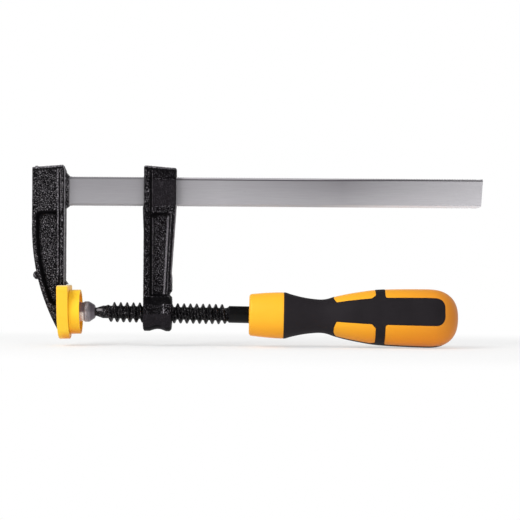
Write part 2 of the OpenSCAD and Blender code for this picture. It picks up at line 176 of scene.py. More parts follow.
# how bright the room is, and in a reflection each side of it and where that begins; how white the floor looks to
# the camera and in a reflection, and how far its shadow reaches
studio = {"sky": .6, "front": .16, "back": 1.0, "frontToBack": (-.5, .3), "left": 1.2, "leftFrom": (.45, .95),
          "ceiling": .08, "ceilingFrom": (.3, .75)}
lamps = {"keyLamp": {"place": (-.62, -.62, .8), "aim": (.08, 0, .03), "size": (.6, .6), "power": 9},
         "fillLamp": {"place": (.55, -1.0, .35), "aim": (.09, 0, .03), "size": (.9, .8), "power": 3.5,
                      "mirrored": False}}
floorLook = {"half": 3.0, "drop": .2 * mm, "tone": .9, "seen": .5, "mirrored": .85, "shadowMiddle": .09,
             "shadowShape": .5, "shadowReach": (.1, .2)}
white = (1, 1, 1, 1)


def makeWorld():
    s = studio
    world = bpy.data.worlds.new("studio")
    scene.world = world
    world.use_nodes = True
    shade = Shade(world.node_tree)
    camera, glossy = shade.node("LightPath", output=0), shade.node("LightPath", output=3)
    toRight, toBack, up = shade.node("TexCoord", output=0).split()
    wall = s["front"] + (s["back"] - s["front"]) * toBack.step(*s["frontToBack"])
    wall = wall + s["left"] * (-1 * toRight).step(*s["leftFrom"])
    overhead = up.step(*s["ceilingFrom"])         # what shines upwards sees a dark ceiling
    mirrored = wall * (1 - overhead) + s["ceiling"] * overhead
    soft, shining, plain = [shade.node("Background", Color=white, Strength=strength)
                            for strength in (s["sky"], mirrored, 1.0)]
    lit = shade.node("MixShader", i0=glossy, i1=soft, i2=shining)
    seen = shade.node("MixShader", i0=camera, i1=lit, i2=plain)
    world.node_tree.links.new(seen.socket, world.node_tree.nodes["World Output"].inputs[0])


def makeLamp(name, place, aim, size, power, mirrored=True):
    lamp = bpy.data.objects.new(name, bpy.data.lights.new(name, "AREA"))
    lamp.data.shape, lamp.data.size, lamp.data.size_y, lamp.data.energy = "RECTANGLE", *size, power
    lamp.location = place
    lamp.rotation_euler = (Vector(aim) - Vector(place)).to_track_quat("-Z", "Y").to_euler()
    lamp.visible_glossy = mirrored
    scene.collection.objects.link(lamp)


def makeFloor():
    f = floorLook
    half, height = f["half"], cadLow.z - f["drop"]
    mesh = bpy.data.meshes.new("floor")
    corners = [(x, y, height) for x, y in ((-half, -half), (half, -half), (half, half), (-half, half))]
    mesh.from_pydata(corners, [], [(0, 1, 2, 3)])
    floor = bpy.data.objects.new("floor", mesh)
    scene.collection.objects.link(floor)
    made, shader, spot = material("paleFloor")
    plug(shader, Base_Color=(f["tone"], f["tone"], f["tone"], 1), Roughness=.9, Specular_IOR_Level=.05)
    camera, glossy = spot.node("LightPath", output=0), spot.node("LightPath", output=3)
    glow = spot.node("Emission", Color=white, Strength=1.0)
    x, y, _ = spot.split()
    away = ((x - f["shadowMiddle"]) * f["shadowShape"]) ** 2 + y ** 2
    beyond = (away ** .5).step(*f["shadowReach"])
    seen = f["seen"] + (1 - f["seen"]) * beyond   # all white beyond the object's shadow
    share = camera * seen + glossy * f["mirrored"]
    surface = spot.node("MixShader", i0=share, i1=Shade(made.node_tree, shader.outputs[0]), i2=glow)
    made.node_tree.links.new(surface.socket, made.node_tree.nodes["Material Output"].inputs[0])
    mesh.materials.append(made)


makeWorld()
for lampName, lampLook in lamps.items():
    makeLamp(lampName, **lampLook)
makeFloor()
print("floor and light ready")


# Mesh tools

def stand(mesh, node, finish, sharp=40, flat=False):
    # links a mesh as the piece that stands for a CAD node and moves with it
    piece = bpy.data.objects.new(node + "Piece", mesh)
    scene.collection.objects.link(piece)
    mesh.materials.clear()
    mesh.materials.append(finish)
    mesh.shade_smooth()
    if sharp:
        mesh.set_sharp_from_angle(angle=math.radians(sharp))
    if flat:                                      # broad faces stay flat beside rounded edges
        piece.modifiers.new("flatFaces", "WEIGHTED_NORMAL").keep_sharp = True
    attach(piece, bodyOf[node])
    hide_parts(node)
    return piece


def axes(origin, along):
    # an origin with three directions: along the axis, across it (+Y) and upwards
    along = Vector(along).normalized()
    across = Vector((0, 1, 0))
    return Vector(origin), along, across, along.cross(across)


def onAxis(frameAxes, along, radius, angle):      # a point beside an axis
    origin, first, second, third = frameAxes
    return origin + first * along + second * (radius * math.cos(angle)) + third * (radius * math.sin(angle))


def ringMesh(name, rings):
    # skins a row of rings of points; a ring of one point closes an end
    points, faces, before = [], [], None
    for ring in rings:
        now = (len(points), len(ring))
        points += ring
        if before is not None:
            (a, countA), (b, countB) = before, now
            around = max(countA, countB)
            for i in range(around if around > 1 else 0):
                j = (i + 1) % around
                if countA == 1:
                    faces.append((a, b + j, b + i))
                elif countB == 1:
                    faces.append((a + i, a + j, b))
                else:
                    faces.append((a + i, a + j, b + j, b + i))
        before = now
    mesh = bpy.data.meshes.new(name)
    mesh.from_pydata(points, [], faces)
    return mesh


def softened(corners, steps=4):
    # (distance, radius, rounding) corners as an outline whose corners are rounded
    outline = []
    for i, (along, radius, soft) in enumerate(corners):
        if soft == 0 or i in (0, len(corners) - 1):
            outline.append((along, radius))
            continue
        here = Vector((along, radius))
        ends = []
        for other in (corners[i - 1], corners[i + 1]):
            away = Vector(other[:2]) - here
            ends.append(here + away * min(soft / away.length, .48))     # less than half of each side
        for k in range(steps + 1):
            t = k / steps
            outline.append(tuple(ends[0] * (1 - t) ** 2 + here * (2 * t * (1 - t)) + ends[1] * t * t))
    return outline


def turned(name, outline, frameAxes, around):
    # an outline in millimetres turned about an axis
    rings = []
    for along, radius in outline:
        angles = [0] if radius < 1e-4 else [2 * math.pi * i / around for i in range(around)]
        rings.append([onAxis(frameAxes, along * mm, radius * mm, angle) for angle in angles])
    return ringMesh(name, rings)


def ballOutline(radius, opening, steps):
    # a ball's outline from its tip round to an opening of the given radius
    last = math.pi - math.asin(opening / radius)
    return [(-radius * math.cos(a), radius * math.sin(a)) for a in np.linspace(0, last, steps)]


def modified(mesh, *modifiers):
    # the mesh after the given modifiers, each a type and its settings
    holder = bpy.data.objects.new("holder", mesh)
    scene.collection.objects.link(holder)
    for kind, settings in modifiers:
        made = holder.modifiers.new(kind.lower(), kind)
        for name, value in settings.items():
            setattr(made, name, value)
    bpy.context.view_layer.update()
    result = bpy.data.meshes.new_from_object(holder.evaluated_get(bpy.context.evaluated_depsgraph_get()))
    bpy.data.objects.remove(holder)
    bpy.data.meshes.remove(mesh)
    return result


class Net:
    # a mesh's points as an array, with averages over each point's neighbours
    def __init__(self, mesh):
        self.mesh, self.count = mesh, len(mesh.vertices)
        ends = np.empty(len(mesh.edges) * 2, np.int32)
        mesh.edges.foreach_get("vertices", ends)
        self.ends = np.concatenate([ends[::2], ends[1::2]]), np.concatenate([ends[1::2], ends[::2]])
        self.neighbours = np.bincount(ends, minlength=self.count)
        self.points = np.empty(self.count * 3)
        mesh.vertices.foreach_get("co", self.points)
        self.points = self.points.reshape(-1, 3)

    def average(self, values):
        if values.ndim == 2:
            return np.stack([self.average(values[:, k]) for k in range(values.shape[1])], 1)
        return np.bincount(self.ends[0], values[self.ends[1]], self.count) / self.neighbours

    def ease(self, values, rounds):
        for _ in range(rounds):
            values = values + .5 * (self.average(values) - values)
        return values

    def settle(self, points):
        self.points = points
        self.mesh.vertices.foreach_set("co", points.ravel())
        self.mesh.update()

    def normals(self):
        normals = np.empty(self.count * 3)
        self.mesh.vertex_normals.foreach_get("vector", normals)
        return normals.reshape(-1, 3)

    def keep(self, name, values):                 # a value for each point, which shaders can read
        self.mesh.attributes.new(name, "FLOAT", "POINT").data.foreach_set("value", values.astype(np.float32))


def fineCopy(node, voxel, rounds):
    # an evenly and finely meshed copy of a CAD node, its edges rounded by rounds of easing
    net = Net(modified(nodes[node].data.copy(), ("REMESH", {"mode": "VOXEL", "voxel_size": voxel})))
    net.settle(net.ease(net.points, rounds))
    return net


# Finish of the castings: a wrinkled black coat

coat = {"wrinkle": .74 * mm, "narrow": 4.0, "depth": .12 * mm, "proud": .04 * mm, "speck": .4 * mm,
        "grain": .22 * mm, "rare": 1.3 * mm, "bump": .08 * mm, "shade": colour(12, 11, 13), "seed": 3}
# the crest and edge colours are painted highlights; valley and calm are the coat's own colours
coatLooks = {
    "fixed_jaw": {"name": "wrinkledCoat", "valley": colour(5, 4, 6), "crestGlintTint": colour(166, 162, 167),
                  "calmTint": colour(46, 43, 47), "edgeHighlight": colour(166, 162, 168), "speckle": (.53, .67),
                  "sheen": .035},
    "sliding_jaw": {"name": "wrinkledCoatDark", "valley": colour(4, 3, 5), "crestGlintTint": colour(134, 130, 136),
                    "calmTint": colour(48, 45, 49), "edgeHighlight": colour(150, 146, 152), "speckle": (.515, .685),
                    "sheen": .025}}
noise.seed_set(coat["seed"])                      # without a seed, noise_vector changes with the clock


def wrinkle(point):
    # 1 on the crest of a wrinkle and 0 in the hollows beside it
    spot = point / coat["wrinkle"]
    bent = spot + .35 * noise.noise_vector(spot * .8)
    line = max(0, 1 - abs(noise.noise(bent)) * coat["narrow"])
    return line * min(1, .4 + 1.5 * abs(noise.noise(spot * .9 + Vector((7, 3, 5)))))


def coatFinish(name, valley, crestGlintTint, calmTint, edgeHighlight, speckle, sheen):
    made, shader, spot = material(name)
    crest, calm, hollow, wall, lit = [spot.node("Attribute", {"attribute_name": kept}, 2)
                                      for kept in ("crest", "calm", "hollow", "wall", "lit")]
    # painted glints: bright specks on the wrinkle crests stand in for highlights
    sparkle = cloud(spot, coat["speck"], 1, .6).step(*speckle)
    grain = cloud(spot, coat["grain"], 2, .6)
    rare = cloud(spot, coat["rare"], 1).step(.56, .7)               # a few places get more painted glints
    rough = (1 - calm) * (1 - wall)
    bright = ((crest * .9 + .5 + rare) * sparkle * sparkle * rough).smaller(1)
    tint = bright.mix(valley, crestGlintTint)
    tint = (calm * (.4 + .6 * sparkle)).mix(tint, calmTint)
    shaded = (hollow.step(.1, .45) * .9 * (1 - lit)).larger(wall)   # painted shade in inner corners and on steep walls
    tint = shaded.mix(tint, coat["shade"])
    edge = ((-1 * hollow).step(.1, .55) * (1 - calm) * .5).larger(lit)
    edge = (edge * (.14 + 1.5 * sparkle)).smaller(1)                # outer corners catch the light
    # painted highlight on outer corners and in the lit zones
    tint = (edge * .9).mix(tint, edgeHighlight)
    height = crest * rough + grain * .25 * (1 - calm * .6)
    plug(shader, Base_Color=tint, Roughness=.4 - .1 * bright, Specular_IOR_Level=sheen,
         Normal=height.bump(coat["bump"], .8))
    return made


# Fixed jaw and sliding jaw

barSection = {"width": 5 * mm, "bevel": 1.1 * mm, "low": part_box("bar")[0].z, "high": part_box("bar")[1].z}
jaws = {"voxel": .262 * mm, "rounds": 3, "barGap": {"fixed_jaw": .02 * mm, "sliding_jaw": .25 * mm},
        "slotReach": .8 * mm, "boreGap": .13 * mm, "boreReach": 5.3 * mm}
# where the coat lies calm, dark with painted shade or bright with painted highlights, in millimetres: left, right and
# how far they lean for each one down, bottom and top, nearest and farthest from the middle, and how strongly
coatZones = {
    "fixed_jaw": {
        "calm": [], "dark": [((-18, -6.3, 0), (50.5, 67.4), (5, 9), .1)],
        "lit": [((-6.1, -5.45, -.009), (17, 67.3), (5.1, 6), .75), ((-4.65, -4.2, 0), (48, 67.3), (5.1, 6.1), .7)]},
    "sliding_jaw": {
        "calm": [((38.8, 60, 0), (50.3, 62.5), (0, 9), .82), ((20, 60, 0), (-12, -.8), (0, 9), 1)],
        "dark": [((20, 60, 0), (3.9, 7.3), (0, 9), .78), ((20, 43.6, 0), (-.8, 3.9), (0, 9), .45),
                 ((38.8, 60, 0), (63.2, 67.4), (0, 9), .45), ((30, 37.6, 0), (8.6, 50), (0, 9), .2),
                 ((46.8, 47.45, .0484), (8.6, 45.6), (3.5, 5.6), .95), ((48.2, 49, .0484), (8.6, 45.6), (5, 6), .6)],
        "lit": [((45.95, 46.7, .0484), (8.6, 45.6), (2.4, 3.9), 2.6), ((47.6, 47.95, .0484), (8.6, 45.6), (5, 6), .8),
                ((38.95, 39.35, 0), (8.6, 44.5), (2.4, 3.9), .9), ((38.7, 38.95, 0), (47.2, 67), (5, 6), .4),
                ((38.9, 45.5, 0), (47.2, 47.5), (5, 6), .35), ((44.3, 44.7, 0), (-.5, 4), (4, 9), 1.8)]}}
mouldMarks = {"x": (-16.25 * mm, -4.45 * mm), "radius": .9 * mm, "height": .42 * mm, "above": 66 * mm}
headTops = {"fixed_jaw": ((-17.85, -2.45), (68.1, 69.3)), "sliding_jaw": ((34.8, 50), (69.3, 68.1))}     # x, z
screwAxes = axes(screwTurn["pos_m"], screwTurn["axis"])


def clearOfBar(points, gap):
    # moves the walls of a jaw's slot until they stand off the bar's section by the gap
    low, high = barSection["low"], barSection["high"]
    y, z = points[:, 1], points[:, 2] - (low + high) / 2
    side = np.abs(y) - barSection["width"] / 2
    top = np.abs(z) - (high - low) / 2
    corner = (side + top + barSection["bevel"]) / math.sqrt(2)
    away = np.maximum(np.maximum(side, top), corner)               # how far a point stands off the bar
    push = np.where((away < gap) & (away > -jaws["slotReach"]), gap - away, 0)
    cornerFirst, sideFirst = (corner >= side) & (corner >= top), side > top
    pushY = np.where(cornerFirst, push / math.sqrt(2), np.where(sideFirst, push, 0))
    pushZ = np.where(cornerFirst, push / math.sqrt(2), np.where(sideFirst, 0, push))
    points[:, 1] += np.sign(y) * pushY
    points[:, 2] += np.sign(z) * pushZ


def clearOfScrew(points):
    # widens the sliding jaw's threaded bore a little all round
    origin, along = [np.array(vector) for vector in screwAxes[:2]]
    away = points - origin
    away -= (away @ along)[:, None] * along[None, :]
    radius = np.linalg.norm(away, axis=1)
    inBore = radius < jaws["boreReach"]
    points += np.where(inBore, jaws["boreGap"] / np.maximum(radius, mm), 0)[:, None] * away


def raiseMouldMarks(points):
    # two small round marks on the fixed jaw's head
    for x in mouldMarks["x"]:
        away = np.hypot(points[:, 0] - x, points[:, 1])
        proud = 1 - smoothStep(away, mouldMarks["radius"] * .8, mouldMarks["radius"] * 1.1)
        points[:, 2] += mouldMarks["height"] * proud * (points[:, 2] > mouldMarks["above"])


def smoothStep(values, low, high):                # 0 below low, 1 above high, smooth between them
    t = np.clip((values - low) / (high - low), 0, 1)
    return t * t * (3 - 2 * t)


def band(values, low, high, soft):                # 1 between low and high
    return smoothStep(values, low - soft, low + soft) * (1 - smoothStep(values, high - soft, high + soft))


def zoneValue(zones, points, soft=.16):
    # how strongly the zones hold at each point
    x, depth, z = points[:, 0] / mm, np.abs(points[:, 1]) / mm, points[:, 2] / mm
    most = np.zeros(len(points))
    for (left, right, lean), (low, high), (near, far), strength in zones:
        inside = band(x + lean * (high - z), left, right, soft) * band(z, low, high, soft)
        most = np.maximum(most, inside * band(depth, near, far, soft) * strength)
    return most


def coatShades(node, net, normals, hollow, dark, lit):
    # how much painted shade each point gets in an inner corner or on a dark wall, and how much painted highlight on a
    # bright edge
    x, depth, z = net.points[:, 0] / mm, np.abs(net.points[:, 1]) / mm, net.points[:, 2] / mm
    slope, facing = np.abs(normals[:, 1]), net.ease(normals, 2)
    forward, up = facing[:, 0], facing[:, 2]
    # painted shade on the recesses' steep walls, save those that face backwards
    wall = smoothStep(depth, 2.9, 3.2) * (1 - smoothStep(depth, 5.1, 5.5)) * smoothStep(slope, .12, .25)
    wall *= (1 - smoothStep(slope, .8, .95)) * smoothStep(normals[:, 0], -.45, -.1) * (z < 47.5)
    below = np.interp(x, *headTops[node]) - z     # painted highlight on the head's top edge, above a line of painted shade
    lit = np.maximum(lit, 1.2 - 1.2 * smoothStep(below, .5, .95))
    hollow = np.maximum(hollow, .4 * smoothStep(below, .7, 1) * (1 - smoothStep(below, 1.7, 2.3)))
    if node == "fixed_jaw":                       # painted highlight on the flange's front, beside painted shade on its bevel and brink
        front = smoothStep(forward, .8, .95) * smoothStep(depth, 3.6, 4.2) * (x > -4.6)
        lit = np.maximum(lit, 4 * front * smoothStep(z, -7, 0))
        bevel = smoothStep(forward, .3, .5) * (1 - smoothStep(forward, .72, .85)) * (depth > 5)
        brink = smoothStep(np.maximum(forward, -up), .06, .2) * band(depth, 4.5, 6, .1) * (x < -6)
        wall = np.maximum(np.maximum(wall, .8 * bevel), brink)
    else:                                         # the arm's back catches the light
        back = smoothStep(forward, .6, .9) * (x > 44)
        lit = np.maximum(lit, 2.5 * back * band(z, 15, 50, 1))
    return hollow, np.maximum(wall, dark), lit


def jawPiece(node, finish):
    net = fineCopy(node, jaws["voxel"], jaws["rounds"])
    normals = net.normals()
    bend = ((net.average(net.points) - net.points) * normals).sum(1) / jaws["voxel"]
    hollow = net.ease(bend, 2) * 7                # above 0 in inner corners and below 0 on outer ones
    calm, dark, lit = [zoneValue(coatZones[node][kind], net.points) for kind in ("calm", "dark", "lit")]
    crest = np.array([wrinkle(Vector(point)) for point in net.points]) * (1 - smoothStep(hollow, .05, .4))
    points = net.points + (coat["proud"] - coat["depth"] * (1 - crest) * (1 - .85 * calm))[:, None] * normals
    if node == "fixed_jaw":
        raiseMouldMarks(points)
    points = np.clip(points, *np.array(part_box(node)))
    clearOfBar(points, jaws["barGap"][node])
    if node == "sliding_jaw":
        clearOfScrew(points)
    net.settle(points)
    hollow, wall, lit = coatShades(node, net, normals, hollow, dark, lit)
    for name, values in (("crest", crest), ("calm", calm), ("hollow", hollow), ("wall", wall), ("lit", lit)):
        net.keep(name, values)
    return stand(net.mesh, node, finish, sharp=0)


for jawNode, jawLook in coatLooks.items():
    jawPiece(jawNode, coatFinish(**jawLook))
print("jaws cast and coated")


# Yellow plastic caps

capLook = {"undersideShade": colour(232, 150, 14), "undersideShadeFrom": (-4.5 * mm, -1.5 * mm), "topHighlight": colour(255, 240, 190),
           "topHighlightFrom": (11.7 * mm, 12.4 * mm), "inside": colour(255, 156, 8), "openingShadeFrom": (3 * mm, 3.4 * mm),
           "openingShadeRadius": (9.3 * mm, 9.6 * mm)}
fixedCap = {"radius": 12, "top": 12.5, "corner": 2.4, "footDrop": .9, "depth": 5.3, "wall": 1.6, "fit": .1,
            "anvil": 1.7, "back": .7, "opening": 6.5, "openingLow": -10.9, "openingHigh": 15,
            "face": colour(252, 195, 52), "foot": colour(255, 212, 60), "lowest": -12.9}
padCap = {"radius": 10.45, "depth": 4.85, "wall": 1.6, "lip": 1.1, "lipThick": .85, "hole": 5.4, "pocket": 9.2,
          "gap": .06, "clear": .3, "face": colour(255, 206, 46), "foot": colour(251, 194, 40), "lowest": -10.5}
toeIn = math.radians(1.2)                         # the screw's line isn't quite along the bar
toeAxis = (math.cos(toeIn), 0, math.sin(toeIn))
padAxes = axes(screwTurn["pos_m"], toeAxis)


def capFinish(name, look):
    made, shader, spot = material(name)
    x, y, z = spot.split()
    lowest = look["lowest"]
    drift, grain = cloud(spot, 14 * mm, 2), cloud(spot, .5 * mm, 2, .6)
    tint = z.step((lowest + 4) * mm, (lowest + 11) * mm).mix(look["foot"], look["face"])
    # painted shade on the caps' undersides, stronger towards the front
    underside = 1 - z.step((lowest + .5) * mm, (lowest + 4.5) * mm)
    undersideShade = underside * (.4 + .5 * x.step(*capLook["undersideShadeFrom"])) + drift * .1
    tint = undersideShade.mix(tint, capLook["undersideShade"])
    # painted highlight along the top edge
    tint = (z.step(*capLook["topHighlightFrom"]) * .6).mix(tint, capLook["topHighlight"])
    # painted shade inside the pad cap, seen through its opening
    outer = (y * y + z * z).step(*[radius ** 2 for radius in capLook["openingShadeRadius"]])
    tint = (x.step(*capLook["openingShadeFrom"]) * (1 - outer)).mix(tint, capLook["inside"])
    plug(shader, Base_Color=tint, Roughness=.38 + .1 * grain, Specular_IOR_Level=.2, Normal=grain.bump(.012 * mm))
    return made


def tombstone(inset, steps=10):
    # (y, z) points of the fixed cap's outline: a flat top with round corners and a round foot
    c = fixedCap
    r, corner = c["radius"] - inset, max(c["corner"] - inset, .05)
    high = c["top"] - inset - corner
    sides = [high * t - c["footDrop"] * (1 - t) for t in (.35, .7)]      # heights up each straight side
    outline = [(r * math.cos(a), r * math.sin(a) - c["footDrop"]) for a in np.linspace(-math.pi, 0, 6 * steps)]
    outline += [(r, z) for z in sides]
    for side, start in ((1, 0), (-1, math.pi / 2)):
        outline += [(side * (r - corner) + corner * math.cos(start + a), high + corner * math.sin(start + a))
                    for a in np.linspace(0, math.pi / 2, steps)]
    return outline + [(-r, z) for z in reversed(sides)]


def stacked(name, sections):
    # a closed solid through sections behind the fixed cap's face, each a distance and its (y, z) points
    _, along, across, up = axes((0, 0, 0), toeAxis)
    rings = [[(along * distance + across * y + up * z) * mm for y, z in outline] for distance, outline in sections]
    ends = [[sum(ring, Vector()) / len(ring)] for ring in (rings[0], rings[-1])]
    return ringMesh(name, [ends[0]] + rings + [ends[1]])


def fixedCapPiece():
    c = fixedCap
    back, wall, side = -c["depth"], -c["wall"], c["opening"]
    places = [(back, .55), (back + .08, .25), (back + .25, .08), (back + .55, 0),    # a rounded edge at the back
              (-.32, 0), (-.12, .05), (-.03, .14), (0, .32)]                         # and one round the face
    body = stacked("fixedCap", [(place, tombstone(inset)) for place, inset in places])
    anvil = tombstone(c["anvil"] - c["fit"])
    pocket = stacked("pocket", [(back + c["back"] - c["fit"], anvil), (wall, anvil)])
    box = [(-side, c["openingLow"]), (side, c["openingLow"]), (side, c["openingHigh"]), (-side, c["openingHigh"])]
    opening = stacked("opening", [(back - 1, box), (wall, box)])
    cutters = [bpy.data.objects.new(mesh.name, mesh) for mesh in (pocket, opening)]
    for cutter in cutters:
        scene.collection.objects.link(cutter)
    body = modified(body, *[("BOOLEAN", {"object": cutter, "operation": "DIFFERENCE", "solver": "EXACT"})
                            for cutter in cutters])
    for cutter in cutters:
        bpy.data.objects.remove(cutter)
    return stand(body, "fixed_jaw_cap", capFinish("yellowPlastic", c), sharp=35, flat=True)


def padCapPiece():
    p = padCap
    jawFace = -screwTurn["pos_m"][0] / mm * math.cos(toeIn)        # along the screw from the ball's middle
    face, back = jawFace + p["gap"], jawFace + p["clear"] + p["depth"]
    radius, lipFace = p["radius"], back - p["lip"]
    lipBack = lipFace - p["lipThick"]
    outline = softened([(face, 0, 0), (face, radius, .3), (back, radius, .2), (back, radius - .9, .25),
                        (lipFace, radius - 1.1, .2), (lipFace, p["hole"], .2), (lipBack, p["hole"], .1),
                        (lipBack, p["pocket"], 0), (face + p["wall"], p["pocket"], 0), (face + p["wall"], 0, 0)])
    return stand(turned("padCap", outline, padAxes, 144), "pad_cap", capFinish("yellowPlasticPad", p), flat=True)


fixedCapPiece()
padCapPiece()
print("caps moulded")


# Swivel pad

swivel = {"disc": 9.1, "discFace": -6.45, "discBack": -5.25, "hub": 4.5, "barrel": 4.88, "barrelStart": -1.5,
          "mouth": 3.6, "mouthEdge": 2.6, "bore": 2.22, "socket": 3.42,
          "hubTint": colour(132, 122, 134), "hubPaleReflection": colour(240, 234, 228), "barrelTint": colour(196, 190, 194),
          "seam": colour(96, 88, 94), "mouthShade": colour(84, 76, 84), "stain": colour(84, 76, 82)}


def swivelFinish():
    s = swivel
    made, shader, spot = material("pressedSteel")
    x, _, z = spot.split()
    rings = cloud(spot, .8 * mm, 3, .6, (1, .1, .1))
    stain = cloud(spot, 2.5 * mm, 3, .6).step(.35, .7)
    barrel, seam = x.step(6.5 * mm, 6.9 * mm), 1 - x.step(7.1 * mm, 7.9 * mm)
    under = 1 - z.step(-.7 * mm, .3 * mm)         # painted reflection: the hub's lower half is painted pale as if mirroring the ground, its upper half darker
    tint = barrel.mix(under.mix(s["hubTint"], s["hubPaleReflection"]), s["barrelTint"])
    # painted shade in a dark ring round the barrel's rounded start
    tint = (barrel * seam * .6).mix(tint, s["seam"])
    tint = (x.step(7.0 * mm, 10.4 * mm) * .9).mix(tint, s["mouthShade"])          # painted shade, darker towards the mouth
    tint = (stain * .2 + rings.step(.4, .65) * .5 * barrel).mix(tint, s["stain"])
    plug(shader, Base_Color=tint, Metallic=.5, Roughness=.2 + .1 * barrel + .1 * stain,
         Normal=rings.bump(.012 * mm))
    return made


def swivelPiece():
    s = swivel
    socketEnd = math.sqrt(s["socket"] ** 2 - s["bore"] ** 2)
    outside = softened([(s["discFace"], 0, 0), (s["discFace"], s["disc"], .3), (s["discBack"], s["disc"], .3),
                        (s["discBack"], s["hub"], .35), (s["barrelStart"], s["hub"], .1),
                        (s["barrelStart"], s["barrel"], .2), (.65, s["barrel"], .35),
                        (s["mouth"] - .25, 3.15, .2), (s["mouth"], s["mouthEdge"], .1),
                        (s["mouth"] - .3, s["bore"] + .1, .1), (socketEnd, s["bore"], 0)])
    hollow = ballOutline(s["socket"], s["bore"], 24)
    outline = outside + hollow[-2::-1]
    return stand(turned("swivelPad", outline, padAxes, 128), "swivel_pad", swivelFinish(), flat=True)


swivelPiece()
print("swivel pad pressed")


# Spindle

spindle = {"ball": 3.2, "neck": 2.0, "neckEnd": 4.2, "rootStart": 7.2, "root": 3.0, "crest": 4.8, "pitch": 3.0,
           "start": 9.5, "turns": 19, "angle": 84, "fade": 2.1, "land": .05, "flank": .36, "shank": 4.0,
           "shankStart": 67.0, "end": 128.4, "wingLength": 11, "wingSpan": 5.5, "wingWidth": 1.3, "chamfer": .3,
           "around": 72, "step": .125}
spindleLook = {"steel": colour(7, 6, 8), "smear": colour(50, 46, 50), "glint": colour(150, 146, 150),
               "plainFrom": (73 * mm, 76 * mm)}   # the shank is plain black from here on


def threadRadius(along, angle):
    # radius of the right-handed thread, with rounded crests and roots
    s = spindle
    turn = (along - s["start"]) / s["pitch"] - (angle - math.radians(s["angle"])) / (2 * math.pi)
    offset = turn - round(turn)                   # in turns from the nearest crest
    crestPlace = along - offset * s["pitch"]
    last = s["start"] + s["turns"] * s["pitch"]
    ends = [(crestPlace - s["start"] + .4) / s["fade"], (last - crestPlace + .3) / s["fade"]]
    fade = math.prod(min(1, max(0, end)) for end in ends)
    flank = min(1, max(0, (abs(offset) - s["land"]) / s["flank"]))
    rise = 1 - flank * flank * (3 - 2 * flank)
    return s["root"] + (s["crest"] - s["root"]) * rise * fade


def spindleRadius(along, angle):                  # beyond the ball
    s = spindle
    if along < s["rootStart"]:
        return float(np.interp(along, [s["neckEnd"], s["rootStart"]], [s["neck"], s["root"]]))
    if along > s["end"] - s["wingLength"]:        # the tang's wings, held inside the handle
        across, up = max(abs(math.cos(angle)), 1e-3), max(abs(math.sin(angle)), 1e-3)
        radius = max(s["shank"], min(s["wingSpan"] / up, s["wingWidth"] / across))
        return radius if along < s["end"] - s["chamfer"] else radius - s["chamfer"]
    shank = float(np.interp(along, [s["shankStart"] - 1.4, s["shankStart"]], [s["root"] - .2, s["shank"]]))
    return max(threadRadius(along, angle) if along < s["shankStart"] + 2 else 0, shank)


def spindlePiece():
    s = spindle
    neckPlace = math.sqrt(s["ball"] ** 2 - s["neck"] ** 2)
    rings = [[onAxis(screwAxes, -s["ball"] * mm, 0, 0)]]
    angles = [2 * math.pi * i / s["around"] for i in range(s["around"])]
    for along, radius in ballOutline(s["ball"], s["neck"], 20)[1:]:
        rings.append([onAxis(screwAxes, along * mm, radius * mm, angle) for angle in angles])
    threadStart, threadEnd, wing = s["rootStart"] - .5, s["shankStart"] + 2, s["end"] - s["wingLength"]
    places = [neckPlace + .3, s["neckEnd"], s["neckEnd"] + .3]
    places += list(np.linspace(threadStart, threadEnd, int((threadEnd - threadStart) / s["step"])))
    places += [threadEnd + .5, 80, wing - .01, wing + .01, s["end"] - s["chamfer"], s["end"]]
    for along in places:
        rings.append([onAxis(screwAxes, along * mm, spindleRadius(along, angle) * mm, angle) for angle in angles])
    rings.append([onAxis(screwAxes, s["end"] * mm, 0, 0)])
    return stand(ringMesh("spindle", rings), "spindle", spindleFinish(), sharp=50)


def spindleFinish():
    made, shader, spot = material("blackenedSteel")
    x, _, z = spot.split()
    smear = cloud(spot, 2.2 * mm, 3, .6)
    grain = cloud(spot, .4 * mm, 2, .6)
    glint = cloud(spot, .45 * mm, 1, .5).step(.64, .7)
    threaded = 1 - x.step(*spindleLook["plainFrom"])
    neckHighlight = x.step(12 * mm, 13.4 * mm) * (1 - x.step(14.6 * mm, 16 * mm))         # painted highlight: a bright spot on the neck
    neckHighlight = neckHighlight * z.step(.1 * mm, .8 * mm) * (1 - z.step(1.1 * mm, 1.8 * mm))
    tint = (smear.step(.45, .8) * .4 * threaded).mix(spindleLook["steel"], spindleLook["smear"])
    tint = (glint * .6 * threaded + neckHighlight * .6).smaller(1).mix(tint, spindleLook["glint"])
    plug(shader, Base_Color=tint, Metallic=.1, Roughness=.34 + .16 * smear, Specular_IOR_Level=.16,
         Normal=((grain * .6 + smear) * threaded).bump(.02 * mm))
    return made


spindlePiece()
print("spindle threaded")


# Handle: a hard core with a soft grip moulded over it

handle = {"front": 76.4, "bore": 4.05, "boreDepth": 52, "collar": 8.5, "edge": 1.4, "domeStart": 84,
          "domeLength": 14.95, "domeFullness": 2.5, "widest": 13.795, "gripStart": 16.4, "islandStart": 39.9,
          "ringStart": 59.5, "ringEnd": 64, "panelEnd": 91.9, "panelAngle": 59, "panelCorner": 4.0, "panelTurn": 73.7,
          "proud": .114, "depth": 1.6, "under": .02, "round": .12, "roundRows": (.1, .26),
          "reference": 12.0, "spacing": 1.0, "borderSpacing": .7}
# the hard surface: distance from the front and radius
handleKeys = [(1.4, 9.95), (9, 10.65), (16.4, 10.9), (20, 9.95), (26, 8.6), (32.5, 7.85), (36.5, 8.1), (41, 9.5),
              (46.7, 10.85), (52.4, 11.9), (58.2, 12.8), (64, 13.25), (73, 13.6), (84, 13.795)]


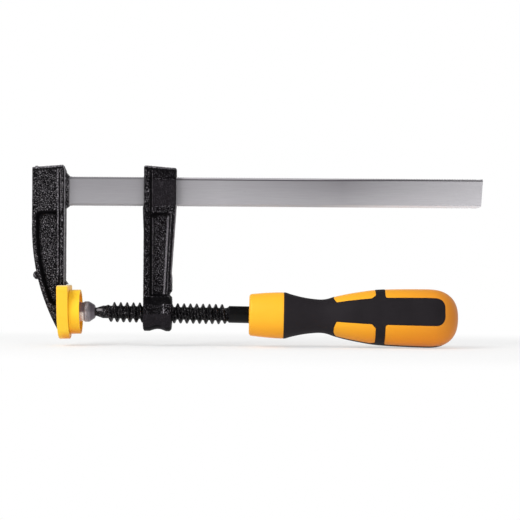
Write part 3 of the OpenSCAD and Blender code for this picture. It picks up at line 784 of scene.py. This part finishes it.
def throughKeys(keys, steps):
    # a smooth curve through points
    made = []
    for i in range(len(keys) - 1):
        a, b, c, d = [Vector(keys[min(max(k, 0), len(keys) - 1)]) for k in (i - 1, i, i + 1, i + 2)]
        for j in range(steps):
            t = j / steps
            made.append(b + t / 2 * (c - a + t * (2 * a - 5 * b + 4 * c - d + t * (3 * (b - c) + d - a))))
    return made + [Vector(keys[-1])]


def handleProfile():
    # place along the surface, distance from the front and radius: out of the bore, over the front and the waist
    # and on to the end of the dome
    h = handle
    face, floor, full = h["collar"] - h["bore"], h["boreDepth"], h["domeFullness"]
    profile = [(-face - floor - h["bore"], floor, 0), (-face - floor, floor, h["bore"]),
               (-face, 0, h["bore"]), (0, 0, h["collar"])]
    for k in range(1, 6):                         # the rounded front edge
        t = math.pi / 2 * k / 6
        profile.append((h["edge"] * k / 6, h["edge"] * (1 - math.cos(t)),
                        h["collar"] + (handleKeys[0][1] - h["collar"]) * math.sin(t)))
    profile += [(place, place, radius) for place, radius in throughKeys(handleKeys, 6)]
    for t in [math.pi / 2 * k / 40 for k in range(1, 41)]:
        profile.append((h["domeStart"] + h["domeLength"] * t, h["domeStart"] + h["domeLength"] * math.sin(t),
                        h["widest"] * max(0, 1 - math.sin(t) ** full) ** (1 / full)))
    return np.array(profile)


def gripBorder():
    # the grip's borders in one third of the handle, as open lines from seam to seam: its front edge, an island on
    # each side and the panel, all in millimetres along the surface and round it
    h = handle
    seam = math.pi / 3 * h["reference"]
    side = math.radians(h["panelAngle"] / 2) * h["reference"]
    panelEnd = h["domeStart"] + h["domeLength"] * math.asin((h["panelEnd"] - h["domeStart"]) / h["domeLength"])
    start, ringStart, ringEnd, corner = h["islandStart"], h["ringStart"], h["ringEnd"], h["panelCorner"]
    island = [(start + 1.1 * t * t, seam - t * (seam - side - .5)) for t in np.linspace(0, 1, 8)]
    island += [(start + 1.25, side + .2), (start + 1.7, side), (ringStart - 2, side), (ringStart - 1.8, side + .1),
               (ringStart - .1, side + 1.8), (ringStart, side + 2), (ringStart, seam)]
    panel = [(ringEnd, seam), (ringEnd, side + 1.1), (ringEnd + .3, side + .3), (ringEnd + 1.1, side)]
    panel += [(panelEnd - corner + corner * math.sin(a), side - corner + corner * math.cos(a))
              for a in np.linspace(0, math.pi / 2, 9)]
    panel += [(u, -v) for u, v in reversed(panel)]
    return [[(h["gripStart"], -seam), (h["gripStart"], seam)], island, [(u, -v) for u, v in island], panel]


def resampled(line, spacing):                     # a line with about even steps between its corners
    made = [Vector(line[0])]
    for a, b in zip(line, line[1:]):
        a, b = Vector(a), Vector(b)
        count = max(1, round((b - a).length / spacing))
        made += [a.lerp(b, k / count) for k in range(1, count + 1)]
    return made


def inGrip(u, v, lines):
    # whether points lie in the grip: behind its front edge, and inside the panels or outside the islands
    _, *islands, panel = lines
    island = np.zeros(len(u), bool)
    for line in islands:
        island |= within(u, v, line + [(line[-1][0], line[-1][1] * 2), (line[0][0], line[0][1] * 2)])
    before = handle["ringStart"] - 1
    panel = within(u, v, panel + [(before, panel[-1][1]), (before, panel[0][1])])
    return (u > handle["gripStart"]) & ~island & ((u < handle["ringEnd"]) | panel)


def within(u, v, corners):                        # whether points lie in a closed outline
    inside = np.zeros(len(u), bool)
    for (x1, y1), (x2, y2) in zip(corners, corners[1:] + corners[:1]):
        crosses = (y1 > v) != (y2 > v)
        if y1 != y2:
            inside ^= crosses & (u < (x2 - x1) * (v - y1) / (y2 - y1) + x1)
    return inside


def borderDistance(u, v, lines):                  # how far points lie from the nearest line
    best = np.full(len(u), 1e9)
    for line in lines:
        for (x1, y1), (x2, y2) in zip(line, line[1:]):
            dx, dy = x2 - x1, y2 - y1
            t = np.clip(((u - x1) * dx + (v - y1) * dy) / (dx * dx + dy * dy), 0, 1)
            best = np.minimum(best, np.hypot(u - x1 - t * dx, v - y1 - t * dy))
    return best


def handleSector():
    # one third of the handle's skin as a flat triangle mesh: places, triangles, which of them are grip, and how far
    # each place lies from the grip's borders
    h = handle
    profile = handleProfile()
    lines = [[tuple(p) for p in resampled(line, h["borderSpacing"])] for line in gripBorder()]
    seam = math.pi / 3 * h["reference"]
    first, last = profile[0][0], profile[-1][0]
    fixed = [first, profile[1][0], h["bore"] - h["collar"], -.25, 0] + [h["edge"] * k / 6 for k in range(1, 8)]
    points, edges = [], []

    def chain(row):
        start = len(points)
        points.extend(row)
        edges.extend((start + i, start + i + 1) for i in range(len(row) - 1))

    for line in lines:
        chain(line)
        for inset in h["roundRows"]:              # rows beside each border, for its small round edges
            for i, (u, v) in enumerate(line):
                a, b = Vector(line[max(i - 1, 0)]), Vector(line[min(i + 1, len(line) - 1)])
                across = Vector((b.y - a.y, a.x - b.x)).normalized()
                if abs(abs(v) - seam) < 1e-6:     # points on a seam stay on it
                    across = Vector((math.copysign(1, across.x), 0))
                points.extend((u + across.x * side, v + across.y * side) for side in (inset, -inset))
    marks = sorted({round(u, 6) for line in lines for u, v in (line[0], line[-1])})
    rows = list(np.arange(h["edge"] + .8, last - .3, h["spacing"]))
    seamPlaces = set(fixed) | {last} | {u for u in rows if min(abs(u - mark) for mark in marks) > .55}
    for inset in (0, *h["roundRows"]):
        seamPlaces |= {mark + side for mark in marks for side in (inset, -inset)}
    for v in (-seam, seam):
        chain([(u, v) for u in sorted(seamPlaces)])
    around = np.linspace(-seam, seam, 25)
    for u in (first, last):
        chain([(u, v) for v in around])
    inner = [(u, v) for u in fixed[1:] for v in around[1:-1]]
    shift = h["spacing"] / 2                      # every second row is shifted, for even triangles
    for n, u in enumerate(rows):
        inner += [(u, v) for v in np.arange(-seam + .5 + shift * (n % 2), seam - .4, h["spacing"])]
    inner = np.array(inner)
    inner = inner[borderDistance(inner[:, 0], inner[:, 1], lines) > .5]
    points.extend(map(tuple, inner))
    places, _, triangles, *_ = delaunay_2d_cdt([Vector(p) for p in points], edges, [], 0, 1e-5)
    places = np.array([tuple(p) for p in places])
    triangles = np.array([t for t in triangles if len(t) == 3])
    centres = places[triangles].mean(1)
    inside = np.abs(centres[:, 1]) < seam         # leaves out slivers that lie along a seam
    triangles, centres = triangles[inside], centres[inside]
    soft = inGrip(centres[:, 0], centres[:, 1], lines)
    return profile, places, triangles, soft, borderDistance(places[:, 0], places[:, 1], lines)


def handleMeshes():
    # the core and the grip, each three sectors of skin closed by a floor under the grip and walls at its borders
    h = handle
    profile, places, triangles, soft, edge = handleSector()
    start = axes(onAxis(screwAxes, h["front"] * mm, 0, 0), screwAxes[1])
    along = np.interp(places[:, 0], profile[:, 0], profile[:, 1])
    radius = np.interp(places[:, 0], profile[:, 0], profile[:, 2])
    fillet = h["round"] * (1 - np.clip(edge / h["roundRows"][-1], 0, 1)) ** 2
    owners = {}                                   # the triangles at each edge
    for index, triangle in enumerate(triangles):
        for a, b in ((0, 1), (1, 2), (2, 0)):
            owners.setdefault(tuple(sorted((triangle[a], triangle[b]))), []).append(index)
    walls = [(pair, found) for pair, found in owners.items() if len(found) == 2 and soft[found[0]] != soft[found[1]]]
    made = []
    for grip in (False, True):
        points, faces, known = [], [], {}

        def corner(index, turn, top):
            skin = fillet[index] - (h["proud"] if grip else 0)
            floor = h["depth"] + (0 if grip else h["under"])
            r = max(radius[index] - (skin if top else floor), 0) if radius[index] > 1e-6 else 0
            spot = onAxis(start, along[index] * mm, r * mm, places[index][1] / h["reference"] + turn)
            key = tuple(round(c, 7) for c in spot)
            if key not in known:
                known[key] = len(points)
                points.append(spot)
            return known[key]

        def add(*loop):                           # a face, without the sides that have no length
            loop = [c for i, c in enumerate(loop) if c != loop[i - 1]]
            if len(set(loop)) > 2:
                faces.append(loop)

        for k in range(3):
            turn = math.radians(90 + h["panelTurn"] + 120 * k)
            for triangle, isSoft in zip(triangles, soft):
                a, b, c = triangle
                if isSoft == grip:
                    add(*[corner(i, turn, True) for i in (a, b, c)])
                if isSoft:
                    order = (c, b, a) if grip else (a, b, c)
                    add(*[corner(i, turn, False) for i in order])
            for (a, b), found in walls:
                mine = next(t for t in found if soft[t] == grip)
                loop = list(triangles[mine])
                if loop[(loop.index(a) + 1) % 3] != b:
                    a, b = b, a
                add(corner(a, turn, True), corner(a, turn, False), corner(b, turn, False), corner(b, turn, True))
        mesh = bpy.data.meshes.new("grip" if grip else "core")
        mesh.from_pydata(points, [], faces)
        made.append(mesh)
    return made


# tones along the handle darken towards the dome's end as painted shade, and the underside gets painted shade
amber = {"from": 84 * mm, "to": 184 * mm, "undersideShade": colour(226, 134, 24), "undersideShadeFrom": (-15 * mm, -3 * mm),
         "tones": [(0, colour(254, 184, 44)), (.4, colour(252, 182, 40)), (.72, colour(238, 160, 32)),
                   (.88, colour(224, 144, 34)), (1, colour(180, 106, 32))]}
gripLook = {"waist": colour(27, 24, 27), "rear": colour(20, 17, 20), "rearFrom": (122 * mm, 140 * mm),
            "dust": colour(42, 38, 42)}


def amberFinish():
    made, shader, spot = material("amberPlastic")
    x, _, z = spot.split()
    drift, grain = cloud(spot, 22 * mm, 2), cloud(spot, .45 * mm, 2, .6)
    along = x.node("MapRange", Value=x, From_Min=amber["from"], From_Max=amber["to"])
    tone = along.node("ValToRGB", {"stops": amber["tones"]}, Fac=along)
    underside = 1 - z.step(*amber["undersideShadeFrom"])
    tint = (underside * .5 + drift * .12).mix(tone, amber["undersideShade"])
    plug(shader, Base_Color=tint, Roughness=.4 + .1 * grain, Specular_IOR_Level=.2, Normal=grain.bump(.012 * mm))
    return made


def gripFinish():
    made, shader, spot = material("softGrip")
    x, _, _ = spot.split()
    drift, grain = cloud(spot, 12 * mm, 3), cloud(spot, .3 * mm, 2, .65)
    tint = x.step(*gripLook["rearFrom"]).mix(gripLook["waist"], gripLook["rear"])
    tint = (drift * .6 + grain * .3).mix(tint, gripLook["dust"])
    plug(shader, Base_Color=tint, Roughness=.62 + .14 * grain, Specular_IOR_Level=.12, Normal=grain.bump(.02 * mm))
    return made


core, grip = handleMeshes()
stand(core, "handle_core", amberFinish(), sharp=50)
stand(grip, "handle_grip", gripFinish(), sharp=50)
print("handle moulded")


# Bar: the CAD solid, with its own finish

# grey tones along its upper and lower half, which are painted reflections; where the bevels and the teeth's tips
# begin from its edges; and from where along it the bevels' painted reflections change, beyond the sliding jaw and
# then pale
barLook = {"upper": [(0, 150), (.2, 153), (.36, 166), (.56, 146), (.66, 134), (.82, 166), (1, 190)],
           "lower": [(0, 164), (.2, 165), (.36, 180), (.56, 172), (.66, 170), (.82, 190), (1, 206)],
           "upperBevel": (-1.2 * mm, -1.05 * mm), "tips": (-.62 * mm, -.5 * mm), "lowerBevel": (1.0 * mm, 1.15 * mm),
           "dip": .36 * mm, "beyondJawFrom": (45 * mm, 50 * mm), "paleFrom": (110 * mm, 165 * mm),
           "fleck": colour(120, 116, 122), "groove": colour(66, 62, 68), "tip": colour(214, 210, 215),
           "pale": colour(236, 233, 236)}


def barFinish():
    b = barLook
    made, shader, spot = material("drawnSteel")
    x, _, z = spot.split()
    low, high = barSection["low"], barSection["high"]
    along = x.node("MapRange", Value=x, From_Min=0, From_Max=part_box("bar")[1].x)
    tones = [along.node("ValToRGB", {"stops": [(at, colour(tone, tone - 2, tone + 2)) for at, tone in b[half]]},
                        Fac=along) for half in ("upper", "lower")]
    tint = (1 - z.step(low - mm, high)).mix(*tones)
    streaks = cloud(spot, .35 * mm, 3, .6, (.03, 1, 1))
    flecks = cloud(spot, .8 * mm, 2, .6, (.2, 1, 1)).step(.68, .76)
    tint = (streaks.step(.3, .7) * .12 + flecks * .15).mix(tint, b["fleck"])
    beyondJaw, pale = x.step(*b["beyondJawFrom"]), x.step(*b["paleFrom"])
    near = beyondJaw * (1 - pale)                     # beside the sliding jaw, the painted dark reflection under the teeth dips
    dipped = near * b["dip"] + z
    upperBevel, tips = [dipped.step(*[high + start for start in b[part]]) for part in ("upperBevel", "tips")]
    lowerBevel = 1 - z.step(*[low + start for start in b["lowerBevel"]])
    # painted dark reflection on the upper bevel, stronger beyond the sliding jaw
    tint = (upperBevel * (1 - tips) * (.25 + .6 * beyondJaw)).mix(tint, b["groove"])
    tint = (tips * near * .7).mix(tint, b["tip"])
    # painted pale reflection on the lower bevel
    tint = (lowerBevel * (beyondJaw * .12 + pale * .7)).mix(tint, b["pale"])
    plug(shader, Base_Color=tint, Metallic=.45 - .35 * lowerBevel, Roughness=.4 + .1 * streaks,
         Specular_IOR_Level=.3, Normal=streaks.bump(.006 * mm))
    return made


nodes["bar"].data.materials.clear()
nodes["bar"].data.materials.append(barFinish())
print("bar drawn")
